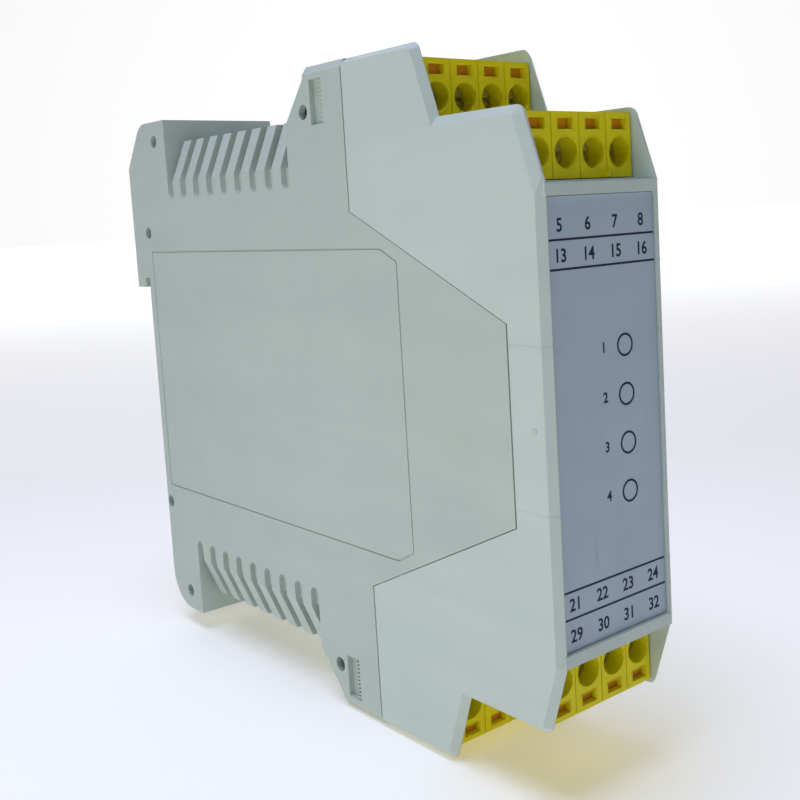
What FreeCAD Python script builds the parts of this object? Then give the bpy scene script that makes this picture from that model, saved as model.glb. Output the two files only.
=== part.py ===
# Safety relay for a 35 mm top-hat rail, 22.5 mm wide.
#
# Frame: +X across the width, +Y from the front towards the rail, +Z up.
# The origin is the middle of the face that sits on the rail.  A "depth" is
# measured backwards from the front plane, so y = depth - seat_depth.
import FreeCAD, Part
import os
import re
import Sketcher

os.makedirs("parts", exist_ok=True)
doc = FreeCAD.newDocument("safety_relay")

# ---------------------------------------------------------------- driving sizes (mm)
SIZES = {
    # how far a cutting tool runs past a face, and how far a joined piece runs into its carrier
    "past": 1.0, "into": 0.1,
    # case as a whole
    "case_half_width": 11.25, "wall": 1.2, "roof_wall": 1.3, "seat_depth": 106.2,
    "case_half_height": 49.65, "edge_bevel_width": 0.85, "edge_bevel_length": 1.25,
    "corner_radius": 1.5,
    # front cover: frame, lower and upper step
    "frame_half_height": 30.0, "frame_bar": 1.6, "front_wall_depth": 2.2,
    "label_recess": 0.8, "label_thickness": 0.25, "label_gap": 0.1,
    "step_one_corner": 3.2, "step_one_height": 39.5, "notch_depth": 18.7,
    "step_two_corner": 22.35, "shelf_thickness": 1.0, "shelf_drop": 3.4,
    "shelf_one_end": 24.0, "shelf_two_front": 18.9, "shelf_two_rear": 37.7, "shelf_two_end": 41.0,
    "tongue_half_width": 9.8, "top_tie_front": 36.8, "top_tie_low": 46.95,
    "top_tie_high": 49.35,
    # seam between the cover and the housing
    "seam_depth": 38.7, "seam_kink_height": 27.9, "seam_nose_depth": 6.8,
    "seam_nose_height": 13.0, "seam_half_gap": 0.12,
    # housing: block behind the plugs
    "block_rear": 48.7, "block_corner_height": 47.8, "block_end": 54.2,
    "block_slope_low": 41.5, "block_inside_rear": 47.4, "block_inside_top": 48.3,
    "block_inside_corner": 47.25, "block_inside_end": 53.0, "block_inside_low": 40.85,
    # housing: louvred ends
    "crease_height": 35.4, "roof_height": 42.4, "ridge_half_width": 8.35,
    "inside_crease_height": 35.16, "inside_ridge_half_width": 7.59,
    "slot_first": 55.32, "slot_pitch": 4.86, "slot_width": 2.15, "slot_low": 32.0,
    "rib_low": 30.0, "rib_high": 35.3, "rib_inside": 8.85, "rib_outside": 10.3,
    "spine_half_width": 3.0,
    # housing: rear flanges, hook and rail seat
    "flange_front": 95.3, "flange_height": 46.4, "flange_wall": 1.4,
    "flange_slope_start": 105.2, "flange_inside_corner": 103.66, "flange_radius": 4.4, "foot_radius": 6.5,
    "hook_depth": 111.2, "hook_slope_low": 38.5, "hook_low": 15.8,
    "hook_lip_depth": 107.8, "hook_groove_height": 17.6, "seat_inside": 104.4,
    "seat_relief": 0.25, "seat_relief_low": 15.5,
    "hook_core_depth": 109.4, "hook_core_high": 37.5, "hook_core_low": 19.4,
    # moulding marks on the sides
    "mark_front_depth": 49.06, "mark_front_height": 43.07, "mark_rear_depth": 99.7,
    "mark_rear_height": 42.84, "mark_middle_depth": 105.0, "mark_middle_height": 26.08,
    "pin_mark_radius": 1.15, "pin_mark_deep": 2.4, "window_front": 43.85, "window_rear": 47.0,
    "window_low": 41.0, "window_high": 47.6, "window_deep": 0.9,
    "panel_front": 28.2, "panel_rear": 104.2, "panel_half_height": 22.65,
    "panel_front_half_height": 20.74, "panel_chamfer_depth": 32.0, "panel_groove": 0.25,
    "panel_groove_deep": 0.15,
    # sliding foot behind the seat
    "channel_half_width": 7.2, "channel_slot_half_width": 6.0, "channel_front": 100.8,
    "channel_lip": 104.6, "channel_top": 14.0, "channel_wall": 1.4,
    "boss_toe_depth": 101.65,
    "foot_half_width": 7.0, "foot_web_half_width": 5.8, "foot_front": 101.0,
    "foot_plate_rear": 104.4, "foot_top": 16.4, "foot_low": 45.6, "foot_toe_height": 41.9,
    "foot_toe_depth": 101.9,
    "foot_web_root": 104.0, "foot_web_rear": 106.0, "foot_nose_rear": 109.3, "foot_nose_front": 107.5,
    "foot_nose_high": 16.2, "foot_nose_lead": 0.9, "foot_ledge": 17.8, "foot_nose_low": 22.5,
    "spring_high": 28.0, "spring_low": 38.2, "spring_depth": 102.5, "spring_radius": 1.25,
    "spring_wire": 0.25, "spring_turns": 7, "post_half_width": 2.0, "post_low": 40.7,
    "post_rear": 103.8, "slide_window": 2.3, "foot_window_rear": 104.1, "slide_window_low": 41.0,
    "driver_slot_half_width": 2.75, "driver_slot_low": 44.6, "driver_slot_high": 43.0,
    # plugs: lengths run back from the plug's own face, heights from its screw axis
    "face_one": 3.75, "face_two": 22.05, "axis_one": 33.65, "axis_two": 42.48,
    "pole_pitch": 5.0, "plug_half_width": 9.85, "plug_length": 14.5, "plug_below": 3.2,
    "plug_above": 5.1, "tail_half_width": 9.0, "tail_end": 20.0, "tail_below": 2.3,
    "tail_above": 3.3, "screw_hole_radius": 1.975, "screw_seat": 4.1, "neck_radius": 1.65,
    "chamber_front": 4.9, "chamber_half_width": 2.05, "chamber_rear": 14.45,
    "chamber_below": 2.7, "chamber_above": 2.5, "contact_bay": 1.55,
    "wire_hole_radius": 1.35, "wire_hole_depth": 11.15, "funnel_radius": 1.95,
    "funnel_deep": 0.9, "probe_half_width": 1.3, "probe_low": 2.95, "probe_high": 4.3,
    "probe_deep": 3.0, "pole_groove": 0.18, "pole_groove_deep": 0.15,
    "tab_half_width": 0.65, "tab_left": -6.55, "tab_right": 4.8, "tab_reach": 0.75,
    "tab_height": 0.9,
    # clamp parts
    "screw_face": 2.5, "screw_head_radius": 1.85, "screw_head_end": 4.0,
    "screw_radius": 1.45, "screw_end": 8.9, "drive_slot": 0.6, "drive_slot_deep": 0.85,
    "cage_half_width": 1.85, "cage_below": 1.7, "cage_above": 2.3, "cage_front": 7.6,
    "cage_rear": 13.3, "cage_nut": 1.2, "cage_floor": 0.8, "cage_side": 0.3,
    "cage_hole_radius": 1.55, "bar_half_width": 1.1, "bar_front": 9.0, "bar_rear": 9.8,
    "bar_high": 2.2, "leg_low": 2.6, "leg_high": 1.9, "riser_front": 13.75,
    "riser_rear": 14.35, "socket_half": 1.2, "socket_bore": 0.5, "socket_bore_front": 14.9,
    "socket_end": 19.4,
    # headers and their pins
    "header_half_width": 9.9, "header_front": 14.7, "header_rear": 22.7,
    "header_below": 3.3, "header_above": 4.3, "header_wall": 0.75, "header_floor": 20.5,
    "pin_half": 0.4, "pin_hole": 0.45, "pin_tip": 16.0, "pin_bend": 23.8, "pin_step": 1.4,
    "pin_reach": 9.9, "board_hole_radius": 0.62,
    # boards and what they carry
    "board_left": 7.9, "board_right": 9.5, "board_front": 7.5, "board_rear": 97.0,
    "board_low_edge": 28.9, "board_notch_one": 26.6, "board_mid_edge": 37.7,
    "board_notch_two": 44.9, "board_top_edge": 44.3, "board_slope_start": 49.4,
    "board_slope_end": 51.9, "board_slope_low": 41.6, "board_guide_edge": 29.6,
    "guide_lip_left": 6.7, "guide_lip_right": 7.75, "guide_lip_low": 28.2,
    "guide_rail_high": 31.2, "guide_front": 58.0, "guide_rear": 92.0,
    "lamp_board_front": 5.6, "lamp_board_rear": 6.8, "lamp_board_left": 8.0,
    "lamp_board_half_height": 15.0, "lamp_x": 3.5, "lamp_top": 9.05, "lamp_pitch": 6.38,
    "lamp_radius": 1.5, "lamp_tip": 1.0, "lamp_flange_radius": 1.9, "lamp_flange_front": 4.6,
    "lamp_hole_radius": 1.65,
    "relay_front": 56.0, "relay_length": 29.0, "relay_low": 2.0, "relay_height": 25.5,
    "relay_top": 7.6, "relay_round": 0.8, "relay_pin_radius": 0.5, "relay_pin_reach": 9.9,
    "relay_pin_inset": 3.0,
    "relay_pin_second": 13.05, "relay_pin_third": 19.72, "relay_stand": 0.2,
    "can_radius": 5.0, "can_length": 12.5, "can_depth": 40.0, "can_height": 9.0,
    "chip_length": 9.9, "chip_width": 6.0, "chip_thickness": 1.75, "chip_depth": 14.0,
    "chip_height": 8.0, "chip_leg": 1.1, "chip_leg_first": 0.93, "chip_leg_rise": 0.6,
    "chip_leg_width": 0.42, "chip_leg_pitch": 1.27,
}
SLOT_COUNT = 9
POLES = range(4)
LAMPS = range(4)
CHIP_LEGS = 7
ENDS = {"upper": 1, "lower": -1}
TIERS = {"front": "one", "rear": "two"}

sheet = doc.addObject("Spreadsheet::Sheet", "Sizes")
for row, (alias, value) in enumerate(SIZES.items(), start=1):
    sheet.set("A%d" % row, alias)
    sheet.set("B%d" % row, str(value))
    sheet.setAlias("B%d" % row, alias)
doc.recompute()

WORD = re.compile(r"[a-z]\w*")
SAME = 0.01  # two places closer than this are one


# ---------------------------------------------------------------- helpers
def formula(text):
    """Turn a formula in plain aliases into one that reads the sheet."""
    return WORD.sub(lambda hit: "Sizes." + hit.group(0) if hit.group(0) in SIZES
                    else hit.group(0), str(text))


def bind(item, **formulas):
    """Bind properties of an object to the sheet; x, y and z are its place."""
    for name, text in formulas.items():
        path = "Placement.Base." + name if name in "xyz" else name
        item.setExpression(path, formula(text))
    return item


def block(name, x, depth, z):
    """A box between two x values, two depths and two heights."""
    item = doc.addObject("Part::Box", name)
    return bind(item, Length="(%s) - (%s)" % (x[1], x[0]),
                Width="(%s) - (%s)" % (depth[1], depth[0]),
                Height="(%s) - (%s)" % (z[1], z[0]),
                x=x[0], y="(%s) - seat_depth" % depth[0], z=z[0])


def across(name, half_width, depth, z):
    """A box that is centred across the width."""
    return block(name, ("-(%s)" % half_width, half_width), depth, z)


TURNS = {"x": FreeCAD.Rotation(FreeCAD.Vector(0, 1, 0), 90),
         "y": FreeCAD.Rotation(FreeCAD.Vector(1, 0, 0), -90),
         "z": FreeCAD.Rotation()}


def rod(name, axis, radius, x, depth, z, length, radius_end=None):
    """A cylinder or cone that starts at a point and runs along +x, +y or +z."""
    item = doc.addObject("Part::Cone" if radius_end else "Part::Cylinder", name)
    item.Placement = FreeCAD.Placement(FreeCAD.Vector(), TURNS[axis])
    if radius_end:
        bind(item, Radius1=radius, Radius2=radius_end)
    else:
        bind(item, Radius=radius)
    return bind(item, Height=length, x=x, y="(%s) - seat_depth" % depth, z=z)


PLANES = {"side": FreeCAD.Rotation(FreeCAD.Vector(1, 1, 1), 120),
          "front": FreeCAD.Rotation(FreeCAD.Vector(1, 0, 0), 90)}


def outline(name, plane, points):
    """A closed sketch with every corner placed by the sheet.

    On the "side" plane the corners are (depth, height); on the "front" plane
    they are (x, height).
    """
    sketch = doc.addObject("Sketcher::SketchObject", name)
    sketch.Placement = FreeCAD.Placement(FreeCAD.Vector(), PLANES[plane])
    bind(sketch, y="-seat_depth")
    spots = [FreeCAD.Vector(*(evaluate(text) for text in point), 0) for point in points]
    count = len(points)
    for number, spot in enumerate(spots):
        sketch.addGeometry(Part.LineSegment(spot, spots[(number + 1) % count]))
    for number in range(count):
        sketch.addConstraint(Sketcher.Constraint("Coincident", number, 2,
                                                 (number + 1) % count, 1))
    for number, point in enumerate(points):
        for kind, text, value in zip(("DistanceX", "DistanceY"), point, spots[number]):
            place = sketch.addConstraint(Sketcher.Constraint(kind, -1, 1, number, 1, value))
            sketch.setExpression("Constraints[%d]" % place, formula(text))
    return sketch


def evaluate(text):
    """The present value of a formula in plain aliases."""
    return float(sheet.evalExpression(formula(text).replace("Sizes.", "")))


def slab(name, half_width, points):
    """A side outline made solid, centred across the width."""
    item = doc.addObject("Part::Extrusion", name)
    item.Base = outline(name + "_outline", "side", points)
    item.DirMode = "Normal"
    item.Solid = True
    item.Symmetric = True
    return bind(item, LengthFwd="2 * (%s)" % half_width)


def plate(name, x, points):
    """A side outline made solid between two x values."""
    item = doc.addObject("Part::Extrusion", name)
    item.Base = outline(name + "_outline", "side", points)
    bind(item.Base, x=x[0])
    item.DirMode = "Normal"
    item.Solid = True
    return bind(item, LengthFwd="(%s) - (%s)" % (x[1], x[0]))


def tunnel(name, depth, points):
    """A front outline made solid between two depths."""
    item = doc.addObject("Part::Extrusion", name)
    item.Base = outline(name + "_outline", "front", points)
    bind(item.Base, y="(%s) - seat_depth" % depth[0])
    item.DirMode = "Normal"
    item.Reversed = True
    item.Solid = True
    return bind(item, LengthFwd="(%s) - (%s)" % (depth[1], depth[0]))


def fuse(name, items):
    item = doc.addObject("Part::MultiFuse", name)
    item.Shapes = items
    return item


def cut(name, base, tools):
    item = doc.addObject("Part::Cut", name)
    item.Base = base
    item.Tool = tools[0] if len(tools) == 1 else fuse(name + "_tools", tools)
    return item


def mirrored(points):
    """An outline's upper corners and their mirror images below the middle."""
    return points + [(depth, "-(%s)" % height) for depth, height in reversed(points)]


def crosses(box):
    """Whether an edge's bounding box runs across the whole case."""
    return box.XLength > 2 * evaluate("case_half_width - edge_bevel_width") - SAME


def edges_where(shape, test):
    """Numbers of the edges whose bounding box passes a test."""
    return [number for number, edge in enumerate(shape.Edges, start=1)
            if test(edge.BoundBox)]


def rounded(name, base, edges, radius):
    item = doc.addObject("Part::Fillet", name)
    item.Base = base
    size = evaluate(radius)
    item.Edges = [(number, size, size) for number in edges]
    doc.recompute()
    return item


# ---------------------------------------------------------------- housing and cover
def louvre_section(half_width, crease, ridge, roof):
    """The eight-sided section of the louvred ends, seen from the front."""
    right = [(half_width, "-(%s)" % crease), (half_width, crease), (ridge, roof)]
    left = [("-(%s)" % x, z) for x, z in reversed(right)]
    return [(ridge, "-(%s)" % roof)] + right + left + [("-(%s)" % ridge, "-(%s)" % roof)]


def housing_shell():
    """Outside of the housing: plug block, louvred middle and rail flange."""
    front = slab("housing_block", "case_half_width", mirrored([
        ("seam_nose_depth + seam_half_gap", "seam_nose_height"),
        ("seam_depth + seam_half_gap", "seam_kink_height"),
        ("seam_depth + seam_half_gap", "case_half_height"),
        ("block_rear", "case_half_height"),
        ("block_rear", "block_corner_height"),
        ("block_end", "block_slope_low")]))
    doc.recompute()
    top_edges = edges_where(front.Shape, lambda box: box.XLength < SAME
                            and box.ZLength < SAME)
    bevelled = doc.addObject("Part::Chamfer", "housing_block_bevelled")
    bevelled.Base = front
    bevelled.Edges = [(number, evaluate("edge_bevel_width"), evaluate("edge_bevel_length"))
                      for number in top_edges]
    middle = tunnel("louvre_outside", ("block_inside_end", "flange_front + flange_wall"),
                    louvre_section("case_half_width", "crease_height", "ridge_half_width",
                                   "roof_height"))
    flange = slab("flange", "case_half_width", [
        ("flange_front", "-flange_height"), ("flange_front", "flange_height"),
        ("flange_slope_start", "flange_height"), ("hook_depth", "hook_slope_low"),
        ("hook_depth", "hook_low"), ("hook_lip_depth", "hook_low"),
        ("hook_lip_depth", "hook_groove_height"),
        ("seat_depth - seat_relief", "hook_groove_height"),
        ("seat_depth - seat_relief", "seat_relief_low"), ("seat_depth", "seat_relief_low"),
        ("seat_depth", "-flange_height")])
    doc.recompute()
    top = edges_where(flange.Shape, lambda box: crosses(box)
                      and abs(box.YMin - evaluate("flange_slope_start - seat_depth")) < SAME)
    soft_top = rounded("flange_round_top", flange, top, "flange_radius")
    foot = edges_where(soft_top.Shape, lambda box: crosses(box) and abs(box.YMin) < SAME
                       and abs(box.ZMin + evaluate("flange_height")) < SAME)
    soft = rounded("flange_round_foot", soft_top, foot, "foot_radius")
    return fuse("housing_outside", [bevelled, middle, soft])


def housing_hollow():
    """Inside of the housing, open at the front."""
    return [
        slab("block_inside", "case_half_width - wall", mirrored([
            ("0", "block_inside_top"), ("block_inside_rear", "block_inside_top"),
            ("block_inside_rear", "block_inside_corner"),
            ("block_inside_end", "block_inside_low")])),
        tunnel("louvre_inside", ("block_inside_end - wall", "flange_front + 2 * flange_wall"),
               louvre_section("case_half_width - wall", "inside_crease_height",
                              "inside_ridge_half_width", "roof_height - roof_wall")),
        slab("flange_inside", "case_half_width - wall", [
            ("flange_front + flange_wall", "-(flange_height - flange_wall)"),
            ("flange_front + flange_wall", "flange_height - flange_wall"),
            ("flange_inside_corner", "flange_height - flange_wall"),
            ("hook_core_depth", "hook_core_high"), ("hook_core_depth", "hook_core_low"),
            ("seat_inside", "hook_core_low"),
            ("seat_inside", "-(flange_height - foot_radius)"),
            ("seat_depth - foot_radius", "-(flange_height - flange_wall)")]),
    ]


def louvre_slots():
    """Nine slots in each louvred end, with round ends low on the side walls."""
    tools = []
    for end, sign in ENDS.items():
        for number in range(SLOT_COUNT):
            label = "%s_slot_%d" % (end, number + 1)
            middle = "slot_first + %d * slot_pitch" % number
            round_end = "slot_low + slot_width / 2"
            low, high = (round_end, "roof_height + past") if sign > 0 else (
                "-roof_height - past", "-(%s)" % round_end)
            tools.append(across(label, "case_half_width + past",
                                (middle + " - slot_width / 2", middle + " + slot_width / 2"),
                                (low, high)))
            tools.append(rod(label + "_round", "x", "slot_width / 2", "-case_half_width - past",
                             middle, "%d * (%s)" % (sign, round_end),
                             "2 * (case_half_width + past)"))
    return tools


def housing_insides():
    """Crease ribs, roof spines, board guides, foot channel wall and spring post."""
    parts = []
    length = ("block_end - wall", "flange_front + flange_wall / 2")
    for end, sign in ENDS.items():
        heights = ("rib_low", "rib_high") if sign > 0 else ("-rib_high", "-rib_low")
        parts.append(block(end + "_rib_left", ("-rib_outside", "-rib_inside"), length, heights))
        parts.append(block(end + "_rib_right", ("rib_inside", "rib_outside"), length, heights))
        heights = ("roof_height - roof_wall", "roof_height")
        if sign < 0:
            heights = ("-roof_height", "-(roof_height - roof_wall)")
        parts.append(across(end + "_spine", "spine_half_width", length, heights))
        guide = ("guide_front", "guide_rear")
        heights = ("rib_low", "guide_rail_high") if sign > 0 else (
            "-guide_rail_high", "-rib_low")
        parts.append(block(end + "_guide_rail", ("guide_lip_left", "rib_outside"), guide,
                           heights))
        heights = ("guide_lip_low", "guide_rail_high") if sign > 0 else (
            "-guide_rail_high", "-guide_lip_low")
        parts.append(block(end + "_guide_lip", ("guide_lip_left", "guide_lip_right"), guide,
                           heights))
    parts.append(slab("channel_boss", "channel_half_width + channel_wall", [
        ("channel_front - channel_wall", "-channel_top + channel_wall"),
        ("channel_lip", "-channel_top + channel_wall"),
        ("channel_lip", "-(flange_height - foot_radius) - flange_wall"),
        ("boss_toe_depth", "-(flange_height - flange_wall / 2)"),
        ("channel_front - channel_wall", "-(flange_height - flange_wall / 2)")]))
    return parts


def foot_channel():
    """The foot's way through the rear wall, with lips that hold it in."""
    heights = ("-flange_height - past", "-channel_top")
    return [across("channel", "channel_half_width", ("channel_front", "channel_lip"), heights),
            across("channel_slot", "channel_slot_half_width",
                   ("channel_front", "seat_depth + past"), heights)]


def side_marks():
    """Ejector marks and date windows in the side walls."""
    tools = []
    faces = {"left": "-case_half_width - past", "right": "case_half_width - pin_mark_deep"}
    for end, sign in ENDS.items():
        for side, start in faces.items():
            for place in ("front", "rear", "middle"):
                tools.append(rod("%s_%s_%s_mark" % (end, side, place), "x",
                                 "pin_mark_radius", start, "mark_%s_depth" % place,
                                 "%d * mark_%s_height" % (sign, place),
                                 "past + pin_mark_deep"))
        heights = ("window_low", "window_high") if sign > 0 else (
            "-window_high", "-window_low")
        tools.append(block(end + "_window", ("-case_half_width - past",
                           "-case_half_width + window_deep"),
                           ("window_front", "window_rear"), heights))
    return tools


def panel_grooves():
    """Fine groove round the plain panel on each side."""
    def panel(name, x, inset):
        return plate(name, x, mirrored([
            ("panel_front + %s" % inset, "panel_front_half_height - %s / 2" % inset),
            ("panel_chamfer_depth + %s / 2" % inset, "panel_half_height - %s" % inset),
            ("panel_rear - %s" % inset, "panel_half_height - %s" % inset)]))
    sides = {"left": ("-case_half_width - past", "-case_half_width + panel_groove_deep"),
             "right": ("case_half_width - panel_groove_deep", "case_half_width + past")}
    return [cut(side + "_panel_groove", panel(side + "_panel", x, "0"),
                [panel(side + "_panel_inner", x, "panel_groove")])
            for side, x in sides.items()]


def rear_housing():
    hollow = cut("housing_open", housing_shell(), housing_hollow() + louvre_slots())
    filled = fuse("housing_ribbed", [hollow] + housing_insides())
    channelled = cut("housing_channelled", filled,
                     foot_channel() + side_marks() + panel_grooves())
    post = across("spring_post", "post_half_width", ("channel_front - 2 * into", "post_rear"),
                  ("-post_low", "-spring_low"))
    return fuse("rear_housing", [channelled, post])


def front_cover():
    """One moulding: side cheeks, front frame and the shelves under the plugs."""
    outside = slab("cover_outside", "case_half_width", mirrored([
        ("0", "frame_half_height"), ("step_one_corner", "step_one_height"),
        ("notch_depth", "step_one_height"), ("step_two_corner", "case_half_height"),
        ("seam_depth - seam_half_gap", "case_half_height"),
        ("seam_depth - seam_half_gap", "seam_kink_height"),
        ("seam_nose_depth - seam_half_gap", "seam_nose_height")]))
    doc.recompute()

    def is_tip(box):
        for depth, height in (("step_one_corner", "step_one_height"),
                              ("step_two_corner", "case_half_height")):
            if (crosses(box) and abs(box.YMin - evaluate(depth + " - seat_depth")) < SAME
                    and abs(abs(box.ZMin) - evaluate(height)) < SAME):
                return True
        return False

    soft = rounded("cover_round_tips", outside, edges_where(outside.Shape, is_tip),
                   "corner_radius")
    seam_front = evaluate("seam_depth - seam_half_gap - seat_depth")

    def is_rim(box):
        on_side = abs(abs(box.XMin) - evaluate("case_half_width")) < SAME
        nose = evaluate("seam_nose_depth - seam_half_gap - seat_depth")
        seam = box.YMin > seam_front - SAME or abs(box.YMin - nose) < SAME
        return box.XLength < SAME and on_side and not seam

    bevelled = doc.addObject("Part::Chamfer", "cover_bevelled")
    bevelled.Base = soft
    bevelled.Edges = [(number, evaluate("edge_bevel_width"), evaluate("edge_bevel_length"))
                      for number in edges_where(soft.Shape, is_rim)]
    inside = across("cover_inside", "case_half_width - wall", ("-past", "seam_depth + past"),
                    ("-case_half_height - past", "case_half_height + past"))
    cheeks = cut("cover_cheeks", bevelled, [inside])
    inner = "case_half_width - wall / 2"
    pieces = [cheeks, across("front_wall", inner, ("label_recess", "front_wall_depth"),
                             ("-frame_half_height + 2 * into", "frame_half_height - 2 * into"))]
    for end, sign in ENDS.items():
        def heights(low, high):
            return (low, high) if sign > 0 else ("-(%s)" % high, "-(%s)" % low)
        pieces.append(across(end + "_frame_bar", "case_half_width - wall + 3 * into",
                             ("0", "front_wall_depth"),
                             heights("frame_half_height - frame_bar", "frame_half_height")))
        pieces.append(across(end + "_shelf_one", inner,
                             ("label_recess", "shelf_one_end"),
                             heights("axis_one - shelf_drop - shelf_thickness",
                                     "axis_one - shelf_drop")))
        pieces.append(across(end + "_shelf_two", inner,
                             ("shelf_two_front", "shelf_two_rear"),
                             heights("axis_two - shelf_drop - shelf_thickness",
                                     "axis_two - shelf_drop")))
        pieces.append(across(end + "_tongue", "tongue_half_width",
                             ("shelf_two_front", "shelf_two_end"),
                             heights("axis_two - shelf_drop - shelf_thickness",
                                     "axis_two - shelf_drop")))
        pieces.append(across(end + "_top_tie", inner, ("top_tie_front",
                             "seam_depth - seam_half_gap"),
                             heights("top_tie_low", "top_tie_high")))
    whole = fuse("cover_whole", pieces)
    windows = [rod("lamp_window_%d" % (number + 1), "y", "lamp_hole_radius", "lamp_x", "-past",
                   "lamp_top - %d * lamp_pitch" % number, "front_wall_depth + 2 * past")
               for number in LAMPS]
    return cut("front_cover", whole, windows)


def front_label():
    half = "case_half_width - wall - label_gap"
    height = "frame_half_height - frame_bar - label_gap"
    return across("front_label", half,
                  ("label_recess - label_thickness", "label_recess"),
                  ("-(%s)" % height, height))


# ---------------------------------------------------------------- rail foot
def rail_foot():
    """The sliding foot that hooks behind the rail's lower edge."""
    plate_part = slab("foot_plate", "foot_half_width", [
        ("foot_front", "-foot_top"), ("foot_plate_rear", "-foot_top"),
        ("foot_plate_rear", "-foot_toe_height"),
        ("foot_toe_depth", "-foot_low"), ("foot_front", "-foot_low")])
    web = slab("foot_web", "foot_web_half_width", [
        ("foot_web_root", "-foot_ledge"), ("foot_nose_front", "-foot_ledge"),
        ("foot_nose_front", "-foot_nose_high"), ("foot_nose_rear - foot_nose_lead", "-foot_nose_high"),
        ("foot_nose_rear", "-foot_nose_high - foot_nose_lead"), ("foot_nose_rear", "-foot_nose_low"),
        ("foot_web_rear", "-foot_nose_low"), ("foot_web_rear", "-spring_low"),
        ("foot_web_root", "-slide_window_low")])
    solid = fuse("foot_solid", [plate_part, web])
    window = across("foot_window", "slide_window", ("foot_front - past", "foot_window_rear"),
                    ("-slide_window_low", "-spring_high"))
    driver = across("driver_slot", "driver_slot_half_width", ("foot_front - past", "seat_depth"),
                    ("-driver_slot_low", "-driver_slot_high"))
    return cut("rail_foot", solid, [window, driver])


def foot_spring():
    """Compression spring between the housing's post and the foot's window."""
    helix = doc.addObject("Part::Helix", "spring_line")
    bind(helix, Radius="spring_radius",
         Height="spring_low - spring_high - 2 * spring_wire",
         Pitch="(spring_low - spring_high - 2 * spring_wire) / spring_turns",
         y="spring_depth - seat_depth", z="-spring_low + spring_wire")
    wire = doc.addObject("Part::Circle", "spring_section")
    wire.Placement = FreeCAD.Placement(FreeCAD.Vector(),
                                       FreeCAD.Rotation(FreeCAD.Vector(1, 0, 0), 90))
    bind(wire, Radius="spring_wire", x="spring_radius", y="spring_depth - seat_depth",
         z="-spring_low + spring_wire")
    coil = doc.addObject("Part::Sweep", "foot_spring")
    coil.Sections = [wire]
    coil.Spine = helix
    coil.Solid = True
    coil.Frenet = True
    return coil


# ---------------------------------------------------------------- plugs
class Seat:
    """Where one plug sits: its face, its screw axis and which end it is at."""

    def __init__(self, end, row):
        self.name = "%s_%s" % (end, row)
        self.sign = ENDS[end]
        self.face = "face_" + TIERS[row]
        self.axis = "axis_" + TIERS[row]

    def pole_x(self, pole):
        return "(%s - 1.5) * pole_pitch" % pole

    def depths(self, front, rear):
        return ("%s + (%s)" % (self.face, front), "%s + (%s)" % (self.face, rear))

    def height(self, offset):
        """A height measured outwards from the screw axis."""
        return "%d * (%s + (%s))" % (self.sign, self.axis, offset)

    def heights(self, low, high):
        pair = (self.height(low), self.height(high))
        return pair if self.sign > 0 else pair[::-1]

    def box(self, name, x, front, rear, low, high):
        return block("%s_%s" % (self.name, name), x, self.depths(front, rear),
                     self.heights(low, high))

    def pole_box(self, name, pole, half_width, front, rear, low, high):
        middle = self.pole_x(pole)
        x = ("%s - %s" % (middle, half_width), "%s + %s" % (middle, half_width))
        return self.box("%s_%d" % (name, pole + 1), x, front, rear, low, high)

    def pole_rod(self, name, pole, radius, front, length):
        return rod("%s_%s_%d" % (self.name, name, pole + 1), "y", radius, self.pole_x(pole),
                   "%s + (%s)" % (self.face, front), self.height("0"), length)


def plug_body(seat):
    """Yellow housing of one four-pole plug."""
    def half(value):
        return ("-" + value, value)
    pieces = [seat.box("head", half("plug_half_width"), "0", "plug_length",
                       "-plug_below", "plug_above"),
              seat.box("tail", half("tail_half_width"), "plug_length - into", "tail_end",
                       "-tail_below", "tail_above")]
    for tab in ("tab_left", "tab_right"):
        pieces.append(seat.box(tab, (tab + " - tab_half_width", tab + " + tab_half_width"),
                               "-tab_reach", "into", "-plug_below",
                               "-plug_below + tab_height"))
    tools = []
    for pole in POLES:
        tools.append(seat.pole_rod("screw_hole", pole, "screw_hole_radius", "-past",
                                   "screw_seat + past"))
        tools.append(seat.pole_rod("neck", pole, "neck_radius", "0", "chamber_front + into"))
        tools.append(seat.pole_box("chamber", pole, "chamber_half_width", "chamber_front",
                                   "chamber_rear", "-chamber_below", "chamber_above"))
        tools.append(seat.pole_box("contact_bay", pole, "contact_bay", "chamber_rear - into",
                                   "tail_end + past", "-contact_bay", "contact_bay"))
        tools.append(seat.pole_box("probe", pole, "probe_half_width", "-past", "probe_deep",
                                   "probe_low", "probe_high"))
        start, radii = "chamber_above - into", ("wire_hole_radius", "funnel_radius")
        flare = "plug_above - funnel_deep"
        base, flare_base = (seat.height(start), seat.height(flare)) if seat.sign > 0 else (
            seat.height("plug_above + into"), seat.height("plug_above"))
        depth = "%s + wire_hole_depth" % seat.face
        tools.append(rod("%s_wire_hole_%d" % (seat.name, pole + 1), "z", radii[0],
                         seat.pole_x(pole), depth, base,
                         "plug_above - chamber_above + 2 * into"))
        wide = radii if seat.sign > 0 else radii[::-1]
        tools.append(rod("%s_funnel_%d" % (seat.name, pole + 1), "z", wide[0],
                         seat.pole_x(pole), depth, flare_base, "funnel_deep", wide[1]))
    for joint in POLES[1:]:
        x = "(%d - 2) * pole_pitch" % joint
        tools.append(seat.box("pole_groove_%d" % joint,
                              (x + " - pole_groove / 2", x + " + pole_groove / 2"),
                              "-past", "pole_groove_deep", "-plug_below - past",
                              "plug_above + past"))
    return cut("plug_" + seat.name, fuse(seat.name + "_blank", pieces), tools)


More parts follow.
